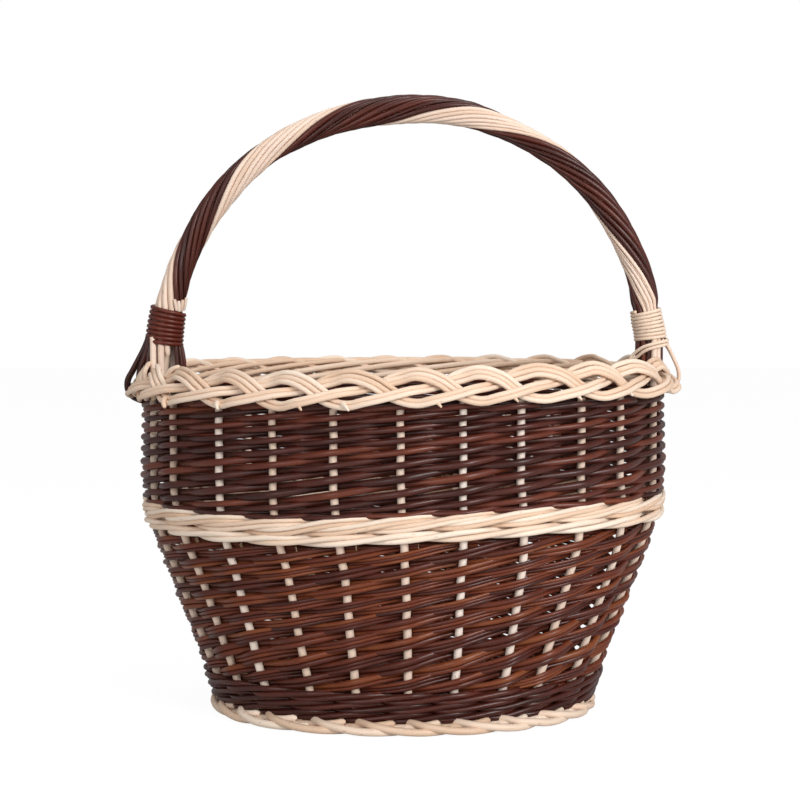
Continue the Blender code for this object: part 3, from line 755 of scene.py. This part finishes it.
def makeLining(piece):
    for index in range(wall["stakes"]):
        first = index + chance.uniform(-plait["liningLate"], plait["liningLate"])
        low = chance.uniform(0.0, plait["liningLow"])
        thick = plait["liningRadius"] * chance.uniform(*plait["liningSpread"])
        if math.sin(wallAngle(first - plait["liningMiddle"])) < plait["liningFront"]:
            continue
        spots = [wallPoint(first + step, height - low, out) for step, height, out in plait["lining"]]
        # the darker tones of the lining are painted shade inside the rim
        points, tone = smoothPath(spots, 5), chance.uniform(*plait["liningShadeTones"])
        piece.add(points, taper(len(points), thick, thick * plait["liningThinning"]), tone)


def makePlait():
    piece = RodPiece("rim_plait_rods")
    makeStrands(piece)
    makeCutEnds(piece)
    makeLining(piece)
    piece.finish(peeledWood, "peeled_willow", *numbered("rim_plait_strand", 3))


makePlait()
print("borders plaited")


# Bow handle

bow = {
    "halfSpan": 0.1844, "shift": 0.0046, "footHeight": 0.2606, "rise": 0.1895, "samples": 280, "sides": 16,
    "coreRadius": 0.0050, "coreLegRadii": (0.0048, 0.0042, 0.0034, 0.0029, 0.0028, 0.0028, 0.0027),
    "coreParts": 60, "coreSides": 14, "coreTone": 0.5,
    # height, and share of the way from the foot of the bow into the wall
    "coreLeg": (
        (0.2530, 0.10), (0.2450, 0.35), (0.2370, 0.75), (0.2300, 1.0), (0.2100, 1.0), (0.1850, 1.0),
        (0.1600, 1.0),
    ),
    # degrees from the right foot, radius of the bundle, distance of its middle outside the plain curve
    "bundle": (
        (0, 0.0104, -0.0008), (4, 0.0102, -0.0010), (7, 0.0100, -0.0012), (9.4, 0.0099, -0.0020),
        (12, 0.0094, -0.0018), (14, 0.0108, -0.0008), (20, 0.0101, 0.0008), (32, 0.0099, 0.0013),
        (41, 0.0094, 0.0022), (50, 0.0089, 0.0018), (62, 0.0086, 0.0009), (68, 0.0089, 0.0006),
        (76, 0.0101, 0.0014), (86, 0.0107, 0.0004), (92, 0.0110, -0.0004), (104, 0.0103, -0.0005),
        (116, 0.0098, 0.0008), (125, 0.0091, 0.0020), (134, 0.0099, 0.0019), (140, 0.0102, 0.0016),
        (152, 0.0094, 0.0010), (158, 0.0099, 0.0012), (164, 0.0105, 0.0009), (168, 0.0107, 0.0014),
        (172, 0.0112, 0.0014), (176, 0.0115, 0.0015), (180, 0.0121, 0.0019),
    ),
}
bundleDegrees, bundleRadii, bundleShifts = zip(*bow["bundle"])
twist = {
    "from": 12.0, "to": 168.0,
    # degrees round the bundle: middle of the pale rods at the start, what they turn, and the bow in that turn
    "middle": 290.0, "turn": -1040.0, "bend": 24.0, "paleWidth": (80.0, 195.0),
    # a rod's share of its colour at the right end and at the left end, and where the change is over
    "pale": ((1, 1, 1), (0.1, 1, 0.45), (1, 1, 1), (1, 1, 1), (0.1, 1, 0.45), (1, 1, 1)),
    "brown": ((1, 1, 1), (1, 0.1, 0.8), (1, 1, 1), (1, 1, 1), (1, 1, 1), (1, 0.1, 0.8), (1, 1, 1), (1, 1, 1)),
    "wander": 0.0002, "wanders": 40, "fullness": 0.94, "paleTones": (0.0, 0.4), "brownTones": (0.1, 0.6),
    # rods begin this far above the foot of the binding; those below it thin towards their ends
    "aboveFoot": 0.004, "legThinning": 0.94, "cadRods": 6,
}


def bowMiddle(angle):
    shift = float(np.interp(math.degrees(angle), bundleDegrees, bundleShifts))
    across, along = math.cos(angle), math.sin(angle)
    middle = Vector((bow["halfSpan"] * across + bow["shift"], 0.0, bow["footHeight"] + bow["rise"] * along))
    return middle + bowOut(angle) * shift


def bowOut(angle):
    return Vector((bow["rise"] * math.cos(angle), 0.0, bow["halfSpan"] * math.sin(angle))).normalized()


def bowRound(angle, turned, radius):
    # turned 0 is the outer side, a quarter turn is the back
    across = bowOut(angle) * math.cos(turned) + Vector((0.0, math.sin(turned), 0.0))
    return bowMiddle(angle) + across * radius


def twistedRods(angle):
    # colour, turn and radius of every rod at this place of the bow
    share = min(max((math.degrees(angle) - twist["from"]) / (twist["to"] - twist["from"]), 0.0), 1.0)
    bundle = float(np.interp(math.degrees(angle), bundleDegrees, bundleRadii))
    middle = twist["middle"] + twist["turn"] * share + twist["bend"] * math.sin(math.pi * share)
    paleWidth = twist["paleWidth"][0] + (twist["paleWidth"][1] - twist["paleWidth"][0]) * share
    rods = []
    for kind, centre, width in (("pale", middle, paleWidth), ("brown", middle + 180.0, 360.0 - paleWidth)):
        weights = [first + (last - first) * min(1.0, share / over) for first, last, over in twist[kind]]
        reached = centre - width / 2
        for weight in weights:
            part = width * weight / sum(weights)
            half = math.radians(part) / 2
            radius = twist["fullness"] * bundle * half / (1 + half)
            rods.append((kind, math.radians(reached + part / 2), radius, bundle - radius))
            reached += part
    return rods


# Feet of the handle, in millimetres: colour, radius, places from the binding down, True for a pointed end.
# The darkest brown tone is painted shade, given to brown rods that lie in shadow. The last four on the left
# are cut ends above the binding.
feet = {
    "right": (
        ("brown", 1.8, (
            (181.2, -6.6, 279), (181.2, -7, 262), (181.2, -6.6, 248), (181.8, -6.2, 236),
            (183.6, -5.8, 222), (186.6, -5.4, 208),
        )),
        ("brown", 1.8, (
            (184.8, -7.8, 279), (184.7, -8, 262), (183.4, -8, 250), (182.2, -7.8, 238), (183.2, -7.4, 224),
            (186, -7, 212),
        )),
        ("brown", 2.1, (
            (178.3, -2.2, 279), (178.3, -2.4, 262), (178.8, -2.2, 250), (180.6, -2, 237),
            (182.8, -1.8, 222), (186.2, -1.6, 206),
        )),
        ("brown", 2.1, (
            (178.2, 2.8, 279), (178.1, 3, 262), (178.8, 3, 248), (180.8, 3, 235), (183.2, 3, 220),
            (186.4, 3, 209),
        )),
        ("brown", 1.6, ((194.6, -4.5, 279), (194.6, -4.8, 262), (194.4, -4.8, 242))),
        ("pale", 2.3, ((189, -7.8, 279), (189, -8.2, 262), (188.6, -8.2, 242))),
        ("pale", 1.6, ((192.4, -7, 279), (192.5, -7.3, 262), (192.2, -7.2, 242))),
        ("pale", 2.2, (
            (180.6, 7, 279), (180.2, 7.3, 262), (180.6, 7.4, 248), (181.8, 7.4, 235), (184.2, 7.2, 220),
            (186.8, 7, 211),
        )),
        ("brown", 2.2, (
            (185, 8.2, 279), (185, 8.4, 262), (183.8, 8.6, 250), (182.6, 8.6, 238), (183.6, 8.6, 224),
            (186.2, 8.4, 213),
        )),
        ("pale", 2.1, ((189.5, 7.4, 279), (189.6, 7.6, 262), (189.2, 7.6, 242))),
        ("brown", 2.1, ((194, 4, 279), (194.1, 4.2, 262), (193.8, 4.2, 242))),
        ("pale", 1.3, (
            (193.5, -4.5, 279), (199.9, -4.6, 271.7), (203.5, -4.6, 264.7), (206.1, -4.4, 259.2),
            (208.2, -4, 254), (208.8, -3.4, 248), (206.6, -2.6, 242.5), (202, -1.8, 240),
        )),
        ("pale", 1.3, (
            (193, -1.5, 279), (199.2, -1.6, 272), (203, -1.6, 265.5), (206, -1.4, 259.2), (208, -1, 254),
            (208.6, -0.4, 248), (206.4, 0.6, 242.5), (202, 1.4, 240),
        )),
    ),
    "left": (
        ("dark", 1.9, (
            (192, -6, 279), (195.5, -6.2, 270.4), (199.9, -6, 262), (204.4, -5.5, 253.8),
            (208.4, -5, 246.3), (208.5, -4.2, 239), (205, -3.2, 233.5), (198.5, -2.2, 230.3),
            (191, -1.4, 229),
        )),
        ("dark", 1.9, (
            (191.5, -2, 279), (194.8, -2.2, 270.4), (199, -2, 262), (203.6, -1.7, 253.8),
            (207.6, -1.2, 246.3), (207.8, -0.4, 239), (204.4, 0.6, 233.5), (198, 1.4, 230.3),
            (190.5, 2.2, 229),
        )),
        ("dark", 2.1, (
            (192, -8.4, 279), (193.8, -9, 268), (196.8, -9.2, 259), (199, -9, 251), (199, -8.4, 242),
        )),
        ("dark", 2.1, (
            (190.6, -7, 279), (191.4, -8.4, 268), (192.6, -9, 258), (193.6, -9, 250), (193.6, -8.4, 242),
        )),
        ("dark", 1.7, (
            (190.8, -6.6, 279), (192, -7, 268), (193.6, -7.4, 258), (194.5, -7.4, 250), (194.5, -7, 242),
        )),
        ("pale", 2.5, ((188, -10, 279), (188, -10.4, 266), (187.8, -10.6, 254), (187.2, -10.6, 242))),
        ("pale", 2.5, (
            (182, -10.4, 279), (182, -10.8, 266), (181.6, -11, 254), (181.4, -10.8, 242),
            (182.6, -10.4, 228), (185.2, -10, 214),
        )),
        ("pale", 2.1, ((177.5, -9.6, 279), (177.4, -9.8, 272), (176.8, -9.4, 264.5)), True),
        ("brown", 1.7, (
            (171.4, -6.4, 279), (171, -6.8, 268), (170.4, -6.8, 256), (171.6, -6.6, 244),
            (176.4, -6.2, 230), (182.2, -5.6, 214),
        )),
        ("brown", 1.7, (
            (170.2, -2.6, 279), (168.7, -3, 268), (167.6, -3.2, 256), (169, -3, 244), (174.6, -2.6, 230),
            (182, -2, 212),
        )),
        ("brown", 1.7, (
            (170, 1.4, 279), (167, 1.2, 267), (165.8, 1, 255), (168, 1.2, 242), (174.4, 1.6, 228),
            (182.2, 2, 213),
        )),
        ("brown", 1.9, (
            (171.8, 6.2, 279), (170.8, 6.6, 266), (170.6, 6.8, 252), (173.8, 7, 238), (178.8, 7, 224),
            (184.2, 6.8, 211),
        )),
        ("pale", 2.3, (
            (176.5, 9.8, 279), (176.2, 10.2, 266), (176.6, 10.4, 252), (178.4, 10.4, 238),
            (181.6, 10.2, 224), (185.6, 9.8, 210),
        )),
        ("brown", 2.3, (
            (182, 10.2, 279), (182, 10.6, 264), (181.6, 10.8, 250), (181.8, 10.8, 236), (183.2, 10.6, 222),
            (186, 10.2, 212),
        )),
        ("pale", 2.3, ((187.5, 8.8, 279), (187.6, 9.2, 264), (187.4, 9.4, 242))),
        ("brown", 2.1, ((191.8, 4.8, 279), (192.2, 5, 264), (192.6, 5.2, 242))),
        ("pale", 1.3, ((170.2, -9, 299), (170.8, -10.2, 303), (171.6, -10.6, 307.2))),
        ("pale", 1.3, ((168.4, -8, 298.5), (168.2, -9.4, 302), (168.6, -9.8, 306))),
        ("pale", 1.3, ((166.8, -6.6, 298.5), (166.1, -8, 302), (165.6, -8.4, 306.8))),
        ("pale", 1.2, ((165.4, -4.4, 299), (164.2, -5.6, 303), (163.2, -5.8, 308.4))),
    ),
}
bindings = {
    # first and last turns are counted from the outer side; the foot is the height above that of the bow
    # tails are in millimetres, and the first one goes on into the turns
    "perTurn": 28, "press": 0.94,
    "right": {
        "foot": 0.0165, "pitch": 0.0027, "radius": 0.00132, "first": 0.25, "last": 8.6,
        "way": 1, "tones": (0.6, 0.5),
        "tails": (
            (
                (181.5, -4, 242), (177.5, -4.4, 249), (173.6, -4.8, 256), (171.7, -5, 262),
                (173.6, -6, 265.6), (176.5, -8.2, 268.4), (180.3, -10.4, 271.2), (185.8, -11.8, 273.2),
                (193, -10.2, 275), (198.5, -5.8, 276), (199.6, 0.2, 276.8), (196.2, 6.6, 277.4),
            ),
            (
                (183, -7, 240), (179.6, -6.2, 248), (176.2, -5.6, 256), (175, -5.6, 261.8),
                (177.7, -7.8, 265), (181.1, -10.2, 268), (185.6, -11.6, 270.2), (193.1, -10.2, 272.1),
                (198.5, -5.8, 273.2), (199.8, 0.4, 274.1), (196.2, 6.6, 274.6), (190, 9.8, 274.8),
            ),
        ),
    },
    "left": {
        "foot": 0.0118, "pitch": 0.00335, "radius": 0.00168, "first": 0.1, "last": 8.1,
        "way": -1, "tones": (0.5,),
        "tails": (((189, 4, 264), (193.5, 3, 270), (195.5, 0.8, 272.2)),),
    },
}


def inMetres(spots, way):
    return [(way * x / 1000, y / 1000, z / 1000) for x, y, z in spots]


def makeHandleRods():
    pieces = {colour: RodPiece(f"handle_{colour}_rods") for colour in ("brown", "pale")}
    sides = [bindings[side] for side in feet]
    low, high = (math.asin((side["foot"] + twist["aboveFoot"]) / bow["rise"]) for side in sides)
    angles = np.linspace(low, math.pi - high, bow["samples"] + 1)
    places = [twistedRods(angle) for angle in angles]
    for index, (kind, *_) in enumerate(places[0]):
        drift = Wander(twist["wander"], twist["wanders"])
        points, radii = [], []
        for part, angle in enumerate(angles):
            _, turned, radius, ring = places[part][index]
            points.append(bowRound(angle, turned, ring + drift.at(twist["wanders"] * part / len(angles))))
            radii.append(radius)
        pieces[kind].add(points, radii, chance.uniform(*twist[kind + "Tones"]), bow["sides"])
    for side, rods in feet.items():
        for kind, radius, spots, *pointed in rods:
            points = smoothPath(inMetres(spots, bindings[side]["way"]), 4)
            radii = taper(len(points), radius / 1000, radius / 1000 * twist["legThinning"], bool(pointed))
            # brown rods that lie in shadow get tone 0, the darkest, as painted shade
            colour, tone = ("brown", 0.0) if kind == "dark" else (kind, None)
            pieces[colour].add(points, radii, tone, bow["sides"])
    pieces["brown"].finish(darkBark, "dark_brown_willow", *numbered("handle_brown_rod", twist["cadRods"]))
    pieces["pale"].finish(creamWood, "cream_willow", *numbered("handle_pale_rod", twist["cadRods"]))


def makeCore():
    piece = RodPiece("handle_bow_rod")
    points = [bowMiddle(math.pi * part / bow["coreParts"]) for part in range(bow["coreParts"] + 1)]
    radii = [bow["coreRadius"]] * len(points)
    legRadii = list(bow["coreLegRadii"])
    for index, top in zip(wallEnds, (points[0], points[-1])):
        leg = []
        for height, share in bow["coreLeg"]:
            tip = wallPoint(index, height) - wallTangent(index, height) * wall["endShift"]
            leg.append(Vector((top.x, 0.0, height)).lerp(tip, share))
        if index == 0:
            points, radii = leg[::-1] + points, legRadii[::-1] + radii
        else:
            points, radii = points + leg, radii + legRadii
    piece.add(points, radii, bow["coreTone"], bow["coreSides"])
    piece.finish(peeledWood, "peeled_willow", "handle_core")


def makeBinding(side, material, slot):
    piece = RodPiece(f"{side}_binding_rod")
    look, perTurn = bindings[side], bindings["perTurn"]
    rods = [smoothPath(inMetres(tail, look["way"]), 5) for tail in look["tails"]]
    for part in range(round((look["last"] - look["first"]) * perTurn) + 1):
        turns = look["first"] + part / perTurn
        height = look["foot"] + look["pitch"] * (turns - look["first"])
        angle = math.asin(height / bow["rise"])
        angle = angle if side == "right" else math.pi - angle
        bundle = float(np.interp(math.degrees(angle), bundleDegrees, bundleRadii))
        rods[0].append(bowRound(angle, fullTurn * turns, bundle + look["radius"] * bindings["press"]))
    for points, tone in zip(rods, look["tones"]):
        piece.add(points, look["radius"], tone)
    piece.finish(material, slot, f"{side}_binding")


makeCore()
makeHandleRods()
makeBinding("left", reddishBark, "reddish_willow")
makeBinding("right", peeledWood, "peeled_willow")
print("handle twisted and bound")


# Base

base = {
    "halfLength": 0.1307, "halfWidth": 0.0962, "level": 0.0204, "pitch": 0.00478, "rounds": 12,
    "stickRadius": 0.0025, "rodRadius": 0.00215, "spokes": 16, "longSticks": 3, "shortSticks": 5,
    "reachOut": 0.0027, "crossingIn": 0.0669, "extraRounds": 6, "innerStretch": 0.4, "stickTone": 0.4,
    "parts": 8, "tightness": 0.9,
    # at the crossing: distance from middle to middle of the long sticks, half the length they keep it
    "crossGap": 0.0058, "crossHalf": 0.0470,
    # a short stick is split round the long ones: how far off it forks, and where its halves bend
    "forkClear": 1.6, "forkOut": 0.004, "splitRadius": 0.00145, "splitRise": 0.0034,
    "splitShares": (0.16, 0.5, 0.84),
    # rounds that tie the crossing, above and below the sticks: how far in, how far up or down, radius
    "ties": (
        (0.0842, 0.0044, 0.00215), (0.0842, -0.0044, 0.00215),
        (0.0795, 0.0044, 0.00215), (0.0795, -0.0044, 0.00215),
    ),
}


def basePoint(spoke, inward, lift=0.0):
    angle = fullTurn * spoke / base["spokes"]
    stretch = base["innerStretch"] * max(0.0, inward - base["crossingIn"])
    return Vector((
        (base["halfLength"] - inward + stretch) * math.cos(angle),
        (base["halfWidth"] - inward) * math.sin(angle),
        base["level"] + lift,
    ))


def makeBaseSticks():
    piece = RodPiece("base_sticks")
    radius, tone = base["stickRadius"], base["stickTone"]
    half, quarter = base["spokes"] // 2, base["spokes"] // 4
    longHalf, shortHalf = base["longSticks"] // 2, base["shortSticks"] // 2
    for number in range(-longHalf, longHalf + 1):
        spots = [basePoint(number, -base["reachOut"]), basePoint(number, base["crossingIn"])]
        for way in (1, -1):
            spots.append(Vector((way * base["crossHalf"], number * base["crossGap"], base["level"])))
        spots += [basePoint(half - number, base["crossingIn"]), basePoint(half - number, -base["reachOut"])]
        piece.add(smoothPath(spots, 8), radius, sides=10)
    forkSide = longHalf * base["crossGap"] + base["forkClear"] * radius + base["forkOut"]
    for number in range(-shortHalf, shortHalf + 1):
        forks = []
        for end, way in ((quarter - number, 1), (number - quarter, -1)):
            inner = basePoint(end, base["crossingIn"])
            forks.append(Vector((inner.x, way * forkSide, base["level"])))
            points = smoothPath([basePoint(end, -base["reachOut"]), inner, forks[-1]], 6)
            piece.add(points, radius, tone, sides=10)
        for way in (-1, 1):
            over = way * base["splitRise"] * up
            spots = [forks[0].lerp(forks[1], share) + over for share in base["splitShares"]]
            piece.add(smoothPath([forks[0], *spots, forks[1]], 5), base["splitRadius"], tone)
    nodes = numbered("base_long_stick", base["longSticks"])
    piece.finish(peeledWood, "peeled_willow", *nodes, *numbered("base_short_stick", base["shortSticks"]))


def makeBaseWeaving():
    piece = RodPiece("base_weaving")
    spokes, parts, extra = base["spokes"], base["parts"], base["extraRounds"]
    reach = base["stickRadius"] + base["rodRadius"]
    steps = (base["rounds"] + extra) // 2 * spokes
    for row, side in ((0, 1), (1, -1)):
        points = []
        for part in range((steps - 1) * parts):
            step = part / parts
            done = row + 2 * step / spokes + 0.5 - extra
            lift = side * swing(step, base["tightness"]) * reach
            points.append(basePoint(spokes / 4 + step, base["pitch"] * (base["rounds"] - done), lift))
        piece.add(points, base["rodRadius"])
    piece.addRounds(basePoint, spokes, base["ties"], 8)
    piece.finish(russetBark, "russet_willow", "base_weaver_a", "base_weaver_b")


makeBaseSticks()
makeBaseWeaving()
print("base woven")


# Floor, light and camera

studio = {
    "floorSize": 6.0, "floorGlow": 1.10, "floorGlowShare": 0.86, "floorShade": 0.65, "worldStrength": 0.40,
    # place, width and height, energy
    "lamps": {
        "key": ((1.25, -1.7, 1.05), (0.9, 0.9), 34.0),
        "fill": ((-0.9, -1.9, 0.8), (1.0, 1.0), 10.0),
        "top": ((0.0, 0.3, 1.9), (1.6, 1.4), 7.5),
    },
    "lampTarget": (0.0, 0.0, 0.2),
    "camera": (-0.0023, -1.514, 0.3195), "tiltDown": 3.35, "lens": 90.0, "sensor": 36.0,
}


def makeFloor():
    graph = Graph("studio_floor")
    graph.put("Base Color", (studio["floorShade"],) * 3)
    graph.put("Roughness", 0.9)
    graph.put("Specular IOR Level", 0.0)
    glow = graph.node("ShaderNodeEmission", {}, {"Color": (1.0, 1.0, 1.0), "Strength": studio["floorGlow"]})
    rays = graph.tree.nodes.new("ShaderNodeLightPath")
    seen = Wire(graph, rays.outputs["Is Camera Ray"]) * studio["floorGlowShare"]
    both = graph.node("ShaderNodeMixShader", {}, {0: seen, 1: Wire(graph, graph.shader.outputs[0]), 2: glow})
    graph.give(graph.tree.nodes["Material Output"].inputs["Surface"], both)
    mesh = bmesh.new()
    bmesh.ops.create_grid(mesh, x_segments=1, y_segments=1, size=studio["floorSize"])
    meshPiece("floor", mesh, graph.material)


def makeWorld():
    # the camera sees plain white, and only the weaker light falls on the basket
    world = bpy.data.worlds.new("studio")
    bpy.context.scene.world = world
    world.use_nodes = True
    tree = world.node_tree
    rays = tree.nodes.new("ShaderNodeLightPath")
    plain, bright = tree.nodes["Background"], tree.nodes.new("ShaderNodeBackground")
    for node, strength in ((plain, studio["worldStrength"]), (bright, 1.0)):
        node.inputs["Color"].default_value = (1.0, 1.0, 1.0, 1.0)
        node.inputs["Strength"].default_value = strength
    mix = tree.nodes.new("ShaderNodeMixShader")
    for index, output in enumerate((rays.outputs["Is Camera Ray"], plain.outputs[0], bright.outputs[0])):
        tree.links.new(output, mix.inputs[index])
    tree.links.new(mix.outputs[0], tree.nodes["World Output"].inputs["Surface"])


def makeLamp(name, place, size, energy):
    data = bpy.data.lights.new(name, "AREA")
    data.shape = "RECTANGLE"
    data.size, data.size_y = size
    data.energy = energy
    lamp = inScene(name, data)
    lamp.location = place
    lamp.rotation_euler = (Vector(studio["lampTarget"]) - Vector(place)).to_track_quat("-Z", "Y").to_euler()


def makeCamera():
    data = bpy.data.cameras.new("camera")
    data.lens = studio["lens"]
    data.sensor_width = studio["sensor"]
    camera = inScene("camera", data)
    camera.location = studio["camera"]
    camera.rotation_euler = (math.radians(90.0 - studio["tiltDown"]), 0.0, 0.0)
    bpy.context.scene.camera = camera


makeFloor()
makeWorld()
for name, lamp in studio["lamps"].items():
    makeLamp(name, *lamp)
makeCamera()
bpy.context.scene.view_settings.view_transform = "Standard"
print("studio set")
